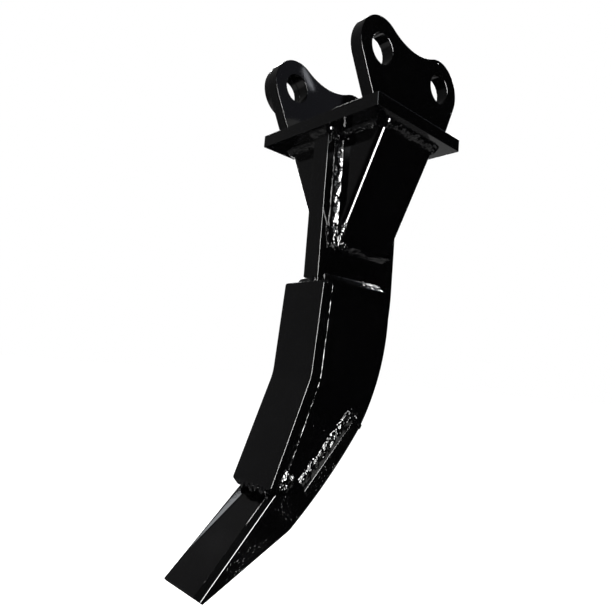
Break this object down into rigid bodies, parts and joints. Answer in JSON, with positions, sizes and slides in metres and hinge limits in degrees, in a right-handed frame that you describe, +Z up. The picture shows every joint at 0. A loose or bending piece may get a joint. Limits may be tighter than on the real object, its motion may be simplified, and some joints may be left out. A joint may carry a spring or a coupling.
{
  "type": "excavator ripper shank with tooth",
  "caption": "Welded excavator ripper with a pin-on eared head, folded gussets, a plated curved shank, a front wear plate and a weld-on digging tooth.",
  "frame": {"origin": "on the front pin bore's axis, midway between the ears", "axes": "+X along the pin bores towards the right ear, -Y towards the digging side, +Z up"},
  "size_m": [0.216, 0.3267, 0.6908],
  "materials": {
    "gloss_black_plate": "gloss black paint over flame-cut steel plate",
    "black_cast_tooth": "thin black paint over a rough cast surface",
    "painted_weld": "gloss black paint over rippled weld metal"
  },
  "bodies": {
    "root": {"top_plate": "gloss_black_plate", "left_ear": "gloss_black_plate", "right_ear": "gloss_black_plate", "front_pin_collar": "gloss_black_plate", "rear_pin_collar": "gloss_black_plate", "shank": "gloss_black_plate", "left_gusset": "gloss_black_plate", "right_gusset": "gloss_black_plate", "left_cheek": "gloss_black_plate", "right_cheek": "gloss_black_plate", "shin_plate": "gloss_black_plate", "tooth": "black_cast_tooth", "left_ear_weld": "painted_weld", "right_ear_weld": "painted_weld", "shank_top_welds": "painted_weld", "left_gusset_top_weld": "painted_weld", "right_gusset_top_weld": "painted_weld", "left_gusset_side_weld": "painted_weld", "right_gusset_side_weld": "painted_weld", "left_cheek_top_weld": "painted_weld", "right_cheek_top_weld": "painted_weld", "left_cheek_rear_weld": "painted_weld", "right_cheek_rear_weld": "painted_weld", "left_shin_weld": "painted_weld", "right_shin_weld": "painted_weld", "shin_top_weld": "painted_weld", "tooth_front_weld": "painted_weld", "left_strap_weld": "painted_weld", "right_strap_weld": "painted_weld", "strap_end_weld": "painted_weld"}
  },
  "joints": []
}
